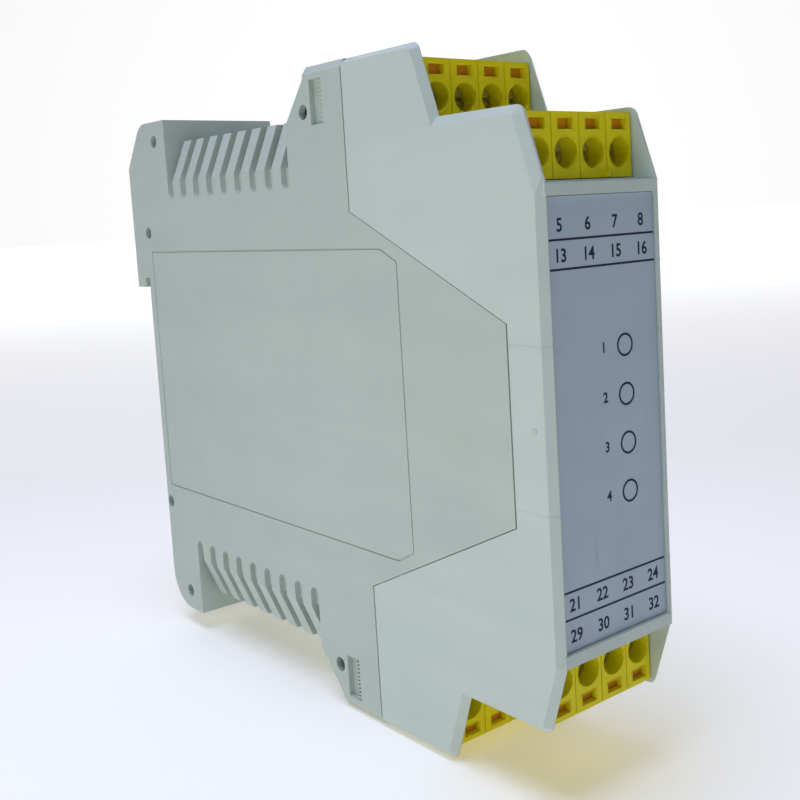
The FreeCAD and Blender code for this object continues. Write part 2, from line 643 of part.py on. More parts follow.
def plug_contacts(seat):
    """Current bars with their spring sockets, one for each pole."""
    contacts = []
    for pole in POLES:
        half = "bar_half_width"
        bar = seat.pole_box("bar", pole, half, "bar_front", "bar_rear", "-leg_low",
                            "bar_high")
        leg = seat.pole_box("leg", pole, half, "bar_front", "riser_rear", "-leg_low",
                            "-leg_high")
        riser = seat.pole_box("riser", pole, half, "riser_front", "riser_rear", "-leg_low",
                              "socket_half")
        socket = seat.pole_box("socket", pole, "socket_half", "riser_rear - into",
                               "socket_end", "-socket_half", "socket_half")
        bore = seat.pole_box("socket_bore", pole, "socket_bore", "socket_bore_front",
                             "socket_end + past", "-socket_bore", "socket_bore")
        whole = fuse("%s_contact_blank_%d" % (seat.name, pole + 1), [bar, leg, riser, socket])
        contacts.append(cut("%s_contact_%d" % (seat.name, pole + 1), whole, [bore]))
    return gathered("contacts_" + seat.name, contacts)


def gathered(name, items):
    """Identical small pieces that share one sub-part."""
    item = doc.addObject("Part::Compound", name)
    item.Links = items
    return item


def clamp_screw(seat, pole):
    label = "screw_%s_%d" % (seat.name, pole + 1)
    head = seat.pole_rod("screw_head", pole, "screw_head_radius", "screw_face",
                         "screw_head_end - screw_face")
    shank = seat.pole_rod("screw_shank", pole, "screw_radius", "screw_face + past",
                          "screw_end - screw_face - past")
    slot = seat.pole_box("drive_slot", pole, "2 * screw_head_radius", "screw_face - past",
                         "screw_face + drive_slot_deep", "-drive_slot / 2",
                         "drive_slot / 2")
    return cut(label, fuse(label + "_blank", [head, shank]), [slot])


def clamp_cage(seat, pole):
    label = "cage_%s_%d" % (seat.name, pole + 1)
    frame = seat.pole_box("cage_frame", pole, "cage_half_width", "cage_front", "cage_rear",
                          "-cage_below", "cage_above")
    mouth = seat.pole_box("cage_mouth", pole, "cage_half_width - cage_side",
                          "cage_front + cage_nut", "cage_rear - cage_floor",
                          "-cage_below - past", "cage_above + past")
    thread = seat.pole_rod("cage_thread", pole, "cage_hole_radius", "cage_front - past",
                           "cage_nut + 2 * past")
    return cut(label, frame, [mouth, thread])


def header(seat):
    """Fixed socket strip that a plug pushes into."""
    def half(value):
        return ("-(%s)" % value, value)
    shell = seat.box("header_block", half("header_half_width"), "header_front",
                     "header_rear", "-header_below", "header_above")
    tools = [seat.box("header_mouth", half("header_half_width - header_wall"),
                      "header_front - past", "header_floor", "-header_below + header_wall",
                      "header_above - header_wall")]
    for pole in POLES:
        tools.append(seat.pole_box("pin_hole", pole, "pin_hole", "header_floor - past",
                                   "header_rear + past", "-pin_hole", "pin_hole"))
    return cut("header_" + seat.name, shell, tools)


def pin_depth(seat, pole):
    """How far back a pin turns to the board: the pin next to it turns first."""
    return "%s + pin_bend + %d * pin_step" % (seat.face, POLES[-1] - pole)


def header_pins(seat):
    """Bent pins that run back through the header and then across to the board."""
    pins = []
    for pole in POLES:
        bend = pin_depth(seat, pole)
        straight = block("%s_pin_%d" % (seat.name, pole + 1),
                         (seat.pole_x(pole) + " - pin_half", seat.pole_x(pole) + " + pin_half"),
                         (seat.face + " + pin_tip", bend + " + pin_half"),
                         seat.heights("-pin_half", "pin_half"))
        run = block("%s_pin_run_%d" % (seat.name, pole + 1),
                    (seat.pole_x(pole) + " - pin_half", "pin_reach"),
                    (bend + " - pin_half", bend + " + pin_half"),
                    seat.heights("-pin_half", "pin_half"))
        pins.append(fuse("%s_pin_whole_%d" % (seat.name, pole + 1), [straight, run]))
    return gathered("pins_" + seat.name, pins)


# ---------------------------------------------------------------- electronics
def relay_pin_places():
    """Depth and height offsets of a relay's pins from its own corner."""
    places = []
    for row in ("relay_pin_inset", "relay_height - relay_pin_inset"):
        for column in ("relay_pin_inset", "relay_pin_second", "relay_pin_third",
                       "relay_length - relay_pin_inset"):
            places.append((column, row))
    return places


def relay_height_of(sign, offset):
    return "%d * (relay_low + (%s))" % (sign, offset)


def main_board(seats):
    sheet_part = plate("board_blank", ("board_left", "board_right"), mirrored([
        ("board_front", "board_low_edge"), ("board_notch_one", "board_low_edge"),
        ("board_notch_one", "board_mid_edge"), ("board_notch_two", "board_mid_edge"),
        ("board_notch_two", "board_top_edge"), ("board_slope_start", "board_top_edge"),
        ("board_slope_end", "board_slope_low"), ("board_slope_end", "board_guide_edge"),
        ("board_rear", "board_guide_edge")]))
    holes = []
    for seat in seats:
        for pole in POLES:
            holes.append(rod("%s_board_hole_%d" % (seat.name, pole + 1), "x",
                             "board_hole_radius", "board_left - past", pin_depth(seat, pole),
                             seat.height("0"), "board_right - board_left + 2 * past"))
    for name, sign in (("k1", 1), ("k2", -1)):
        for number, (depth, height) in enumerate(relay_pin_places()):
            holes.append(rod("%s_board_hole_%d" % (name, number), "x",
                             "relay_pin_radius + into", "board_left - past",
                             "relay_front + " + depth, relay_height_of(sign, height),
                             "board_right - board_left + 2 * past"))
    return cut("main_board", sheet_part, holes)


def lamp_board():
    return block("indicator_board", ("-lamp_board_left", "board_left"),
                 ("lamp_board_front", "lamp_board_rear"),
                 ("-lamp_board_half_height", "lamp_board_half_height"))


def lamps():
    """Four small lamps that look out through the front wall."""
    made = []
    for number in LAMPS:
        height = "lamp_top - %d * lamp_pitch" % number
        label = "lamp_%d" % (number + 1)
        tip = doc.addObject("Part::Sphere", label + "_tip")
        bind(tip, Radius="lamp_radius", x="lamp_x",
             y="lamp_tip + lamp_radius - seat_depth", z=height)
        barrel = rod(label + "_barrel", "y", "lamp_radius", "lamp_x",
                     "lamp_tip + lamp_radius", height,
                     "lamp_board_front - lamp_tip - lamp_radius")
        flange = rod(label + "_flange", "y", "lamp_flange_radius", "lamp_x",
                     "lamp_flange_front", height, "lamp_board_front - lamp_flange_front")
        made.append(fuse(label, [tip, barrel, flange]))
    return gathered("indicator_lamps", made)


def relay(name, sign):
    """A sealed safety relay with its pins."""
    depth = ("relay_front", "relay_front + relay_length")
    heights = ("relay_low", "relay_low + relay_height")
    if sign < 0:
        heights = ("-(%s)" % heights[1], "-(%s)" % heights[0])
    can = block(name + "_can", ("-relay_top", "board_left - relay_stand"), depth, heights)
    doc.recompute()
    soft = rounded(name + "_round", can, edges_where(
        can.Shape, lambda box: box.XMax < -evaluate("relay_top") + SAME or
        box.XLength > evaluate("relay_top")), "relay_round")
    pins = [rod("%s_pin_%d" % (name, number), "x", "relay_pin_radius",
                "board_left - relay_stand - past", "relay_front + " + place[0],
                relay_height_of(sign, place[1]),
                "relay_pin_reach - board_left + relay_stand + past")
            for number, place in enumerate(relay_pin_places())]
    return fuse("relay_" + name, [soft] + pins)


def supply_capacitors():
    cans = []
    for end, sign in ENDS.items():
        cans.append(rod(end + "_capacitor", "x", "can_radius", "board_left - can_length",
                        "can_depth", "%d * can_height" % sign, "can_length"))
    return gathered("supply_capacitors", cans)


def control_chips():
    """Two supervising circuits with gull-wing legs."""
    chips = []
    for end, sign in ENDS.items():
        low = "%d * chip_height - chip_width / 2" % sign
        body = block(end + "_chip", ("board_left - chip_thickness", "board_left - into"),
                     ("chip_depth", "chip_depth + chip_length"),
                     (low, low + " + chip_width"))
        legs = []
        for number in range(CHIP_LEGS):
            depth = "chip_depth + chip_leg_first + %d * chip_leg_pitch" % number
            legs.append(block("%s_chip_leg_%d" % (end, number),
                              ("board_left - chip_leg_rise", "board_left"),
                              (depth, depth + " + chip_leg_width"),
                              (low + " - chip_leg", low + " + chip_width + chip_leg")))
        chips.append(fuse(end + "_chip_whole", [body] + legs))
    return gathered("control_chips", chips)


# ---------------------------------------------------------------- the whole relay
seats = [Seat(end, row) for end in ENDS for row in TIERS]
subparts = [rear_housing(), front_cover(), front_label(), rail_foot(), foot_spring(),
            main_board(seats), lamp_board(), lamps(), relay("k1", 1), relay("k2", -1),
            supply_capacitors(), control_chips()]
for seat in seats:
    subparts += [plug_body(seat), plug_contacts(seat), header(seat), header_pins(seat)]
    for pole in POLES:
        subparts += [clamp_screw(seat, pole), clamp_cage(seat, pole)]

doc.recompute()
for item in doc.Objects:
    if {"Invalid", "Error"} & set(item.State):
        raise RuntimeError("%s failed: %s" % (item.Name, item.State))
for item in subparts:
    item.Label = item.Name
    if item.Shape.isNull() or not item.Shape.isValid() or not item.Shape.Solids:
        raise RuntimeError("%s has no sound solid" % item.Label)
for item in subparts:
    item.Shape.exportStep("parts/%s.step" % item.Label)
    print("%-26s %2d solids %9.1f mm3" % (item.Label, len(item.Shape.Solids),
                                         item.Shape.Volume))
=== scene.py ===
import math
import bmesh
import bpy
from mathutils import Matrix, Vector


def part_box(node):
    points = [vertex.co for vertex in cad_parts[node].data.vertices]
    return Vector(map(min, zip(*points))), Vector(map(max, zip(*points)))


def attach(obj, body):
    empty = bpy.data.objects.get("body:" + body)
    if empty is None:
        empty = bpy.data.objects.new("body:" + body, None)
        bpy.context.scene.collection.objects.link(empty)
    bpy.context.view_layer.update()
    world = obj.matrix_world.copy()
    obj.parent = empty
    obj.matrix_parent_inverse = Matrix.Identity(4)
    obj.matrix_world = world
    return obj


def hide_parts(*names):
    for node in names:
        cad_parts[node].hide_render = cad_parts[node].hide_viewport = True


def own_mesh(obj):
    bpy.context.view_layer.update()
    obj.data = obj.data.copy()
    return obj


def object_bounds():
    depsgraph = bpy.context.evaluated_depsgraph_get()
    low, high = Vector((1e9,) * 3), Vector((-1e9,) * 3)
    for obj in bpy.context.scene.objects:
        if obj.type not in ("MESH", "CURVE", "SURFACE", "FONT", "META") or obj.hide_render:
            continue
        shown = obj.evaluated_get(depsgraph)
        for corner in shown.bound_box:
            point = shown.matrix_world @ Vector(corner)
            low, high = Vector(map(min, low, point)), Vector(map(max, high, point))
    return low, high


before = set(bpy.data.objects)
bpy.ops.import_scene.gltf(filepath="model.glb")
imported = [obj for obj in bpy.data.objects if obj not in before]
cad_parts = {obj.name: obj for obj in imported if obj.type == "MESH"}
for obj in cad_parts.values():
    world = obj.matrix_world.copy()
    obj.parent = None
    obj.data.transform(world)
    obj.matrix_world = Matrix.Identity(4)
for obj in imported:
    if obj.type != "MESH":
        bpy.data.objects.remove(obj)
cad_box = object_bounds()

# Frame: +X across the width, +Y from the front to the rail, +Z up, metres.
MM = 0.001
SEAT_DEPTH = 106.2 * MM
SEATS = ("upper_front", "upper_rear", "lower_front", "lower_rear")
POLES = range(4)
POLE_PITCH = 5.0 * MM
FIRST_POLE = -1.5 * POLE_PITCH
LEFT_SIDE = -11.25 * MM


def behind_front(depth):
    """The y of a depth in millimetres, measured back from the front plane."""
    return depth * MM - SEAT_DEPTH


# ---------------------------------------------------------------- camera, floor and light
CAMERA_PLACE = (-0.10350, -0.19835, 0.02746)
CAMERA_RIGHT = (0.75997, -0.64763, -0.05496)
CAMERA_FORWARD = (0.63987, 0.76034, -0.11163)
LENS_LENGTH = 49.5
SENSOR_WIDTH = 36.0
LENS_SHIFT = (-0.06375, -0.08375)
NEAREST_SEEN = 0.005

# Air light: even from every side, and more from beyond the object.
AIR_EVEN = (0.07, 0.07, 0.075)
AIR_BEYOND = (0.95, 0.95, 0.95)
BEYOND = (0.64, 0.77, 0.0)
# Each window: its place, width, power and colour. All face one point in the object.
WINDOWS = {
    "window_above": ((-0.13, -0.08, 0.58), 0.40, 2.6, (0.66, 0.74, 1.0)),
    "window_left": ((-0.20, -0.115, 0.0), 0.09, 0.078, (0.98, 1.0, 0.80)),
}
WINDOWS_FACE = (0, -0.05, 0)

FLOOR_REACH = 6.0
FLOOR_GAP = 0.2 * MM
FLOOR_PALE = (0.90, 0.90, 0.90)
FLOOR_SHADE = (0.87, 0.87, 0.88)
# The floor glows more with distance towards BEYOND, over this span in metres.
GLOW_SPAN = (0.12, 0.9)
GLOW_NEAR = (0.26, 0.24, 0.20)
GLOW_FAR = (0.80, 0.81, 0.83)


def place_camera():
    """Long view of the left side and the front, a little from above."""
    data = bpy.data.cameras.new("viewing_camera")
    data.lens = LENS_LENGTH
    data.sensor_width = SENSOR_WIDTH
    data.shift_x, data.shift_y = LENS_SHIFT
    data.clip_start = NEAREST_SEEN
    right = Vector(CAMERA_RIGHT).normalized()
    forward = Vector(CAMERA_FORWARD).normalized()
    up = right.cross(forward)
    turn = Matrix((right, up, -forward)).transposed().to_4x4()
    camera = bpy.data.objects.new("viewing_camera", data)
    camera.matrix_world = Matrix.Translation(CAMERA_PLACE) @ turn
    bpy.context.scene.collection.objects.link(camera)
    bpy.context.scene.camera = camera


def hang_window(name, place, width, power, colour):
    """A round soft light that faces the object and isn't seen itself."""
    data = bpy.data.lights.new(name, "AREA")
    data.shape = "DISK"
    data.size = width
    data.energy = power
    data.color = colour
    window = bpy.data.objects.new(name, data)
    direction = Vector(WINDOWS_FACE) - Vector(place)
    window.matrix_world = (Matrix.Translation(place)
                           @ direction.to_track_quat("-Z", "Y").to_matrix().to_4x4())
    window.visible_camera = False
    bpy.context.scene.collection.objects.link(window)


def fill_air():
    """Light from all round, stronger the nearer its direction is to BEYOND."""
    world = bpy.data.worlds.new("studio_air")
    world.use_nodes = True
    tree = world.node_tree
    outward = tree.nodes.new("ShaderNodeTexCoord").outputs["Generated"]
    facing = tree.nodes.new("ShaderNodeVectorMath")
    facing.operation = "DOT_PRODUCT"
    facing.inputs[1].default_value = BEYOND
    tree.links.new(outward, facing.inputs[0])
    share = tree.nodes.new("ShaderNodeMath")
    share.operation = "MAXIMUM"
    share.inputs[1].default_value = 0.0
    tree.links.new(facing.outputs["Value"], share.inputs[0])
    total = tree.nodes.new("ShaderNodeVectorMath")
    total.operation = "MULTIPLY_ADD"
    total.inputs[0].default_value = AIR_BEYOND
    total.inputs[2].default_value = AIR_EVEN
    tree.links.new(share.outputs[0], total.inputs[1])
    tree.links.new(total.outputs["Vector"], tree.nodes["Background"].inputs["Color"])
    bpy.context.scene.world = world


def lay_floor():
    """Plain pale floor just under the object, with a glow that grows with distance."""
    low = cad_box[0][2] - FLOOR_GAP
    corners = [(x * FLOOR_REACH, y * FLOOR_REACH, low)
               for x, y in ((-1, -1), (1, -1), (1, 1), (-1, 1))]
    mesh = bpy.data.meshes.new("studio_floor")
    mesh.from_pydata(corners, [], [(0, 1, 2, 3)])
    floor = bpy.data.objects.new("studio_floor", mesh)
    bpy.context.scene.collection.objects.link(floor)
    paper = Finish("pale_floor")
    paper.tint(FLOOR_PALE, FLOOR_SHADE, paper.field(3.0, detail=2))
    paper.set(roughness=0.9, emission_strength=1.0)
    away = paper.node("VectorMath", operation="DOT_PRODUCT")
    away.inputs[1].default_value = BEYOND
    paper.join(paper.place, away.inputs[0])
    glow = paper.blend(paper.span(away.outputs["Value"], *GLOW_SPAN), GLOW_NEAR, GLOW_FAR)
    paper.join(glow, paper.shader.inputs["Emission Color"])
    mesh.materials.append(paper.material)


def build_studio():
    """Plain view colours, air light, windows and floor."""
    bpy.context.scene.view_settings.view_transform = "Standard"
    fill_air()
    for name, (place, width, power, colour) in WINDOWS.items():
        hang_window(name, place, width, power, colour)
    lay_floor()


# ---------------------------------------------------------------- finishes
class Finish:
    """A material being mixed: one shader, with fields that are read in object space."""

    def __init__(self, name):
        self.material = bpy.data.materials.new(name)
        self.material.use_nodes = True
        self.tree = self.material.node_tree
        self.shader = self.tree.nodes["Principled BSDF"]
        self.place = self.tree.nodes.new("ShaderNodeTexCoord").outputs["Object"]

    def node(self, kind, **settings):
        made = self.tree.nodes.new("ShaderNode" + kind)
        for key, value in settings.items():
            setattr(made, key, value)
        return made

    def join(self, start, socket):
        self.tree.links.new(start, socket)

    def stretched(self, stretch):
        """Object place with each axis scaled, for streaks and flow marks."""
        scale = self.node("Mapping")
        scale.inputs["Scale"].default_value = stretch
        self.join(self.place, scale.inputs["Vector"])
        return scale.outputs["Vector"]

    def field(self, scale, detail=3.0, rough=0.5, stretch=None, twist=0.0):
        noise = self.node("TexNoise")
        noise.inputs["Scale"].default_value = scale
        noise.inputs["Detail"].default_value = detail
        noise.inputs["Roughness"].default_value = rough
        noise.inputs["Distortion"].default_value = twist
        self.join(self.stretched(stretch) if stretch else self.place,
                  noise.inputs["Vector"])
        return noise.outputs["Fac"]

    def span(self, value, low, high, to_low=0.0, to_high=1.0):
        """A value moved from one range to another, and kept inside it."""
        ruler = self.node("MapRange")
        for name, number in (("From Min", low), ("From Max", high), ("To Min", to_low),
                             ("To Max", to_high)):
            ruler.inputs[name].default_value = number
        self.join(value, ruler.inputs["Value"])
        return ruler.outputs["Result"]

    def spread(self, noise, to_low=0.0, to_high=1.0):
        """A noise field's usual range, 0.3 to 0.7, moved to another range."""
        return self.span(noise, 0.3, 0.7, to_low, to_high)

    def reckon(self, operation, first, second):
        """A sum of two values, either of which may be a plain number."""
        made = self.node("Math", operation=operation)
        for socket, value in zip(made.inputs, (first, second)):
            if isinstance(value, (int, float)):
                socket.default_value = value
            else:
                self.join(value, socket)
        return made.outputs["Value"]

    def axis(self, letter):
        """The object-space place along one axis, in metres."""
        parts = self.node("SeparateXYZ")
        self.join(self.place, parts.inputs["Vector"])
        return parts.outputs[letter]

    def blend(self, share, first, second):
        """A colour between two colours, either of which may be a field."""
        made = self.node("Mix", data_type="RGBA")
        self.join(share, made.inputs["Factor"])
        for socket, value in ((made.inputs[6], first), (made.inputs[7], second)):
            if isinstance(value, tuple):
                socket.default_value = (*value, 1)
            else:
                self.join(value, socket)
        return made.outputs[2]

    def paint(self, colour):
        self.join(colour, self.shader.inputs["Base Color"])

    def tint(self, first, second, share):
        """Two close colours that change over with a field."""
        colour = self.blend(share, first, second)
        self.paint(colour)
        return colour

    def set(self, **numbers):
        """Plain numbers for the shader's sockets, by name."""
        for name, number in numbers.items():
            socket = name.replace("_", " ").title().replace("Ior", "IOR")
            self.shader.inputs[socket].default_value = number

    def rough(self, value):
        self.join(value, self.shader.inputs["Roughness"])

    def ridge(self, letter, middle, half_width):
        """One at a place along an axis, falling to nothing half_width away."""
        away = self.reckon("SUBTRACT", self.axis(letter), middle)
        away = self.reckon("ABSOLUTE", away, 0.0)
        return self.span(away, half_width, half_width / 3)

    def dome(self, middle, radius):
        """One at a point, falling to nothing at a radius."""
        away = self.node("VectorMath", operation="DISTANCE")
        away.inputs[1].default_value = middle
        self.join(self.place, away.inputs[0])
        return self.span(away.outputs["Value"], radius, radius / 2)

    def relief(self, height, depth, strength=1.0, edge=0.0, under=None):
        """Bump of a given depth in metres, over softened edges or another normal."""
        bump = self.node("Bump")
        bump.inputs["Distance"].default_value = depth
        bump.inputs["Strength"].default_value = strength
        self.join(height, bump.inputs["Height"])
        if edge:
            soft = self.node("Bevel", samples=4)
            soft.inputs["Radius"].default_value = edge
            self.join(soft.outputs["Normal"], bump.inputs["Normal"])
        if under:
            self.join(under, bump.inputs["Normal"])
        self.join(bump.outputs["Normal"], self.shader.inputs["Normal"])


# The clean colour of each finish, and its worn or shaded one.
SHADES = {
    "housing": ((0.520, 0.592, 0.540), (0.480, 0.555, 0.510)),
    "cover": ((0.590, 0.672, 0.622), (0.550, 0.636, 0.592)),
    "plug": ((0.900, 0.790, 0.004), (0.845, 0.742, 0.004)),
    "probe": ((0.700, 0.300, 0.004), (0.620, 0.260, 0.004)),
    "header": ((0.020, 0.120, 0.045), (0.016, 0.095, 0.036)),
    "foot": ((0.090, 0.100, 0.105), (0.070, 0.080, 0.085)),
    "relay": ((0.62, 0.60, 0.52), (0.56, 0.55, 0.48)),
    "resin": ((0.016, 0.016, 0.018), (0.026, 0.026, 0.028)),
    "screw": ((0.62, 0.63, 0.64), (0.42, 0.43, 0.44)),
    "cage": ((0.66, 0.60, 0.42), (0.48, 0.44, 0.32)),
    "tin": ((0.72, 0.70, 0.66), (0.52, 0.50, 0.47)),
    "spring": ((0.46, 0.46, 0.47), (0.30, 0.30, 0.31)),
    "board": ((0.012, 0.10, 0.035), (0.02, 0.14, 0.05)),
    "lens": ((0.80, 0.82, 0.76), (0.70, 0.75, 0.66)),
    "sleeve": ((0.010, 0.014, 0.040), (0.016, 0.022, 0.060)),
    "film": ((0.445, 0.545, 0.630), (0.415, 0.515, 0.597)),
    "ink": ((0.007, 0.016, 0.040), (0.018, 0.032, 0.066)),
}
STAIN_COLOUR = (0.50, 0.52, 0.38)
TRACK_COLOUR = (0.05, 0.22, 0.08)
STRIPE_COLOUR = (0.45, 0.47, 0.50)
SCUFF_COLOUR = (0.36, 0.38, 0.34)

HANDLED_SCALE = 38.0
GRAIN_SCALE = 2600.0
GRAIN_DEPTH = 0.012 * MM
EDGE_RADIUS = 0.12 * MM
PLASTIC_IOR = 1.49

STAIN_PLACE = (LEFT_SIDE, behind_front(17), -5 * MM)
STAIN_RADIUS = 4.5 * MM
SCUFF_X, SCUFF_HALF_WIDTH = -3.3 * MM, 1.4 * MM
SCUFF_Z, SCUFF_HALF_HEIGHT = -15.5 * MM, 4.5 * MM

WITNESS_HEIGHTS = (10.4 * MM, -10.5 * MM)
WITNESS_HALF_WIDTH = 0.12 * MM
WITNESS_END = (behind_front(6.6), behind_front(6.5))
GATE_PLACE = (LEFT_SIDE, behind_front(2.64), -0.05 * MM)
GATE_RADIUS = 0.42 * MM
WITNESS_RISE = 0.06 * MM
GATE_TO_WITNESS = 3.0

STREAK_DEPTH, METAL_EDGE = 0.006 * MM, 0.06 * MM
TRACK_RISE = 0.03 * MM
WRINKLE_DEPTH = 0.02 * MM
FILM_GRAIN_DEPTH, FILM_EDGE = 0.004 * MM, 0.05 * MM


def mould(finish, shades, roughness, patch_scale=HANDLED_SCALE, stain=None):
    """Fine spark-eroded grain, faint flow and handling marks, and perhaps a stain."""
    patches = finish.field(patch_scale, detail=4, rough=0.6)
    flow = finish.field(60.0, detail=2, stretch=(1.0, 0.25, 2.2), twist=0.6)
    fine = finish.field(GRAIN_SCALE, detail=3, rough=0.65)
    share = finish.span(finish.reckon("ADD", patches, flow), 0.75, 1.25)
    tone = finish.tint(*shades, share)
    if stain:
        finish.paint(finish.blend(stain, tone, STAIN_COLOUR))
    wear = finish.reckon("ADD", finish.spread(patches, -0.06, 0.06),
                         finish.spread(fine, -0.05, 0.05))
    finish.rough(finish.reckon("ADD", wear, roughness))
    finish.relief(fine, GRAIN_DEPTH, 0.6, EDGE_RADIUS)
    finish.set(ior=PLASTIC_IOR)


def moulded(name, shades, roughness, patch_scale=HANDLED_SCALE):
    """A finish of plain injection-moulded plastic."""
    finish = Finish(name)
    mould(finish, shades, roughness, patch_scale)
    return finish


def housing_finish():
    """Housing plastic with one faint yellow stain where it was handled."""
    finish = Finish("pale_grey_housing")
    broken = finish.span(finish.field(300.0, detail=4, rough=0.6), 0.35, 0.65, 0.0, 0.30)
    stain = finish.reckon("MULTIPLY", finish.dome(STAIN_PLACE, STAIN_RADIUS), broken)
    mould(finish, SHADES["housing"], roughness=0.46, stain=stain)
    return finish


def cover_finish():
    """Cover plastic with the witness lines and the gate mark of its mould."""
    finish = moulded("pale_grey_cover", SHADES["cover"], roughness=0.44)
    lines = [finish.ridge("Z", height, WITNESS_HALF_WIDTH) for height in WITNESS_HEIGHTS]
    line = finish.reckon("MAXIMUM", *lines)
    front = finish.span(finish.axis("Y"), *WITNESS_END)
    gate = finish.dome(GATE_PLACE, GATE_RADIUS)
    raised = finish.reckon("ADD", finish.reckon("MULTIPLY", line, front),
                           finish.reckon("MULTIPLY", gate, GATE_TO_WITNESS))
    grain = finish.shader.inputs["Normal"].links[0].from_socket
    finish.relief(raised, WITNESS_RISE, under=grain)
    return finish


def bright_plastic(name, shades):
    """Strongly coloured plastic with little gloss."""
    finish = moulded(name, shades, roughness=0.48, patch_scale=120.0)
    finish.set(specular_ior_level=0.22)
    return finish


def metal(name, shades, roughness, streak=(1.0, 1.0, 1.0)):
    """Plated or drawn metal with fine streaks and dull patches."""
    finish = Finish(name)
    finish.set(metallic=1.0)
    lines = finish.field(1800.0, detail=3, stretch=streak)
    dull = finish.field(420.0, detail=3)
    finish.tint(*shades, finish.span(dull, 0.35, 0.7))
    finish.rough(finish.reckon("ADD", finish.spread(lines, -0.08, 0.10), roughness))
    finish.relief(lines, STREAK_DEPTH, 0.5, METAL_EDGE)
    return finish


def board_finish():
    """Green solder-resist over copper tracks on a glass laminate."""
    finish = Finish("green_laminate")
    tracks = finish.node("TexBrick")
    for name, number in (("Scale", 220.0), ("Mortar Size", 0.045), ("Mortar Smooth", 0.1),
                         ("Brick Width", 1.1), ("Row Height", 0.36)):
        tracks.inputs[name].default_value = number
    turned = finish.node("Mapping")
    turned.inputs["Rotation"].default_value = (0, math.pi / 2, 0)
    finish.join(finish.place, turned.inputs["Vector"])
    finish.join(turned.outputs["Vector"], tracks.inputs["Vector"])
    weave = finish.field(900.0, detail=2)
    resist = finish.blend(finish.spread(weave), *SHADES["board"])
    finish.paint(finish.blend(tracks.outputs["Fac"], resist, TRACK_COLOUR))
    finish.rough(finish.spread(weave, 0.28, 0.42))
    finish.relief(tracks.outputs["Fac"], TRACK_RISE, 0.6)
    return finish


def lens_finish():
    """Milky clear lamp lens."""
    finish = Finish("lamp_lens_milky")
    cloud = finish.field(700.0, detail=2)
    finish.tint(*SHADES["lens"], finish.spread(cloud))
    finish.rough(finish.spread(cloud, 0.12, 0.25))
    finish.set(transmission_weight=0.55, ior=1.52)
    return finish


def sleeve_finish():
    """Dark shrink sleeve with a pale stripe along each can."""
    finish = Finish("dark_sleeve")
    stripe = finish.field(90.0, detail=1, stretch=(0.0, 1.0, 1.0))
    wrinkle = finish.field(1300.0, detail=2, stretch=(0.3, 1.0, 1.0))
    body = finish.blend(finish.spread(wrinkle), *SHADES["sleeve"])
    finish.paint(finish.blend(finish.span(stripe, 0.56, 0.58), body, STRIPE_COLOUR))
    finish.rough(finish.spread(wrinkle, 0.25, 0.40))
    finish.relief(wrinkle, WRINKLE_DEPTH, 0.5)
    return finish


def film_finish():
    """Matt blue-grey label film, faintly mottled, with rubbed streaks and some scuffs."""
    finish = Finish("label_film_grey")
    mottle = finish.field(160.0, detail=5, rough=0.65)
    rubbed = finish.field(420.0, detail=2, stretch=(1.0, 1.0, 0.06))
    tone = finish.blend(finish.span(mottle, 0.32, 0.68), *SHADES["film"])
    streaks = finish.span(rubbed, 0.70, 0.80, 0.0, 0.35)
    scuffed_area = finish.reckon("MULTIPLY", finish.ridge("X", SCUFF_X, SCUFF_HALF_WIDTH),
                                 finish.ridge("Z", SCUFF_Z, SCUFF_HALF_HEIGHT))
    scuffs = finish.span(finish.field(900.0, detail=3, stretch=(1.0, 1.0, 0.16)),
                         0.52, 0.66, 0.0, 0.55)
    worn = finish.reckon("ADD", streaks, finish.reckon("MULTIPLY", scuffed_area, scuffs))
    finish.paint(finish.blend(worn, tone, SCUFF_COLOUR))
    finish.rough(finish.spread(mottle, 0.40, 0.55))
    finish.relief(finish.field(5200.0, detail=2), FILM_GRAIN_DEPTH, 0.5, FILM_EDGE)
    return finish


def ink_finish():
    """Dark blue-black screen print."""
    finish = Finish("screen_print_ink")
    grain = finish.field(3000.0, detail=3)
    finish.tint(*SHADES["ink"], finish.span(grain, 0.4, 0.8))
    finish.rough(finish.spread(grain, 0.48, 0.62))
    finish.set(specular_ior_level=0.25)
    return finish


FINISHES = {
    "housing": housing_finish(),
    "cover": cover_finish(),
    "plug": bright_plastic("yellow_plug", SHADES["plug"]),
    "probe": bright_plastic("orange_probe_plate", SHADES["probe"]),
    "header": moulded("green_header", SHADES["header"], roughness=0.45),
    "foot": moulded("grey_foot", SHADES["foot"], roughness=0.42),
    "relay": moulded("cream_relay_case", SHADES["relay"], roughness=0.35),
    "resin": moulded("black_resin", SHADES["resin"], roughness=0.55),
    "screw": metal("zinc_plated_steel", SHADES["screw"], roughness=0.30,
                   streak=(1.0, 1.0, 0.12)),
    "cage": metal("nickel_plated_brass", SHADES["cage"], roughness=0.30),
    "tin": metal("tinned_copper", SHADES["tin"], roughness=0.34, streak=(1.0, 0.1, 1.0)),
    "spring": metal("drawn_spring_steel", SHADES["spring"], roughness=0.28),
    "board": board_finish(),
    "lens": lens_finish(),
    "sleeve": sleeve_finish(),
    "film": film_finish(),
    "ink": ink_finish(),
}
# Finish by node name, or else by the first word of the name.
NODE_FINISHES = {
    "rear_housing": "housing", "front_cover": "cover", "front_label": "film",
    "rail_foot": "foot", "foot_spring": "spring", "main_board": "board",
    "indicator_board": "board", "indicator_lamps": "lens", "relay_k1": "relay",
    "relay_k2": "relay", "supply_capacitors": "sleeve", "control_chips": "resin",
}
KIND_FINISHES = {"plug": "plug", "contacts": "tin", "header": "header", "pins": "tin",
                 "screw": "screw", "cage": "cage"}


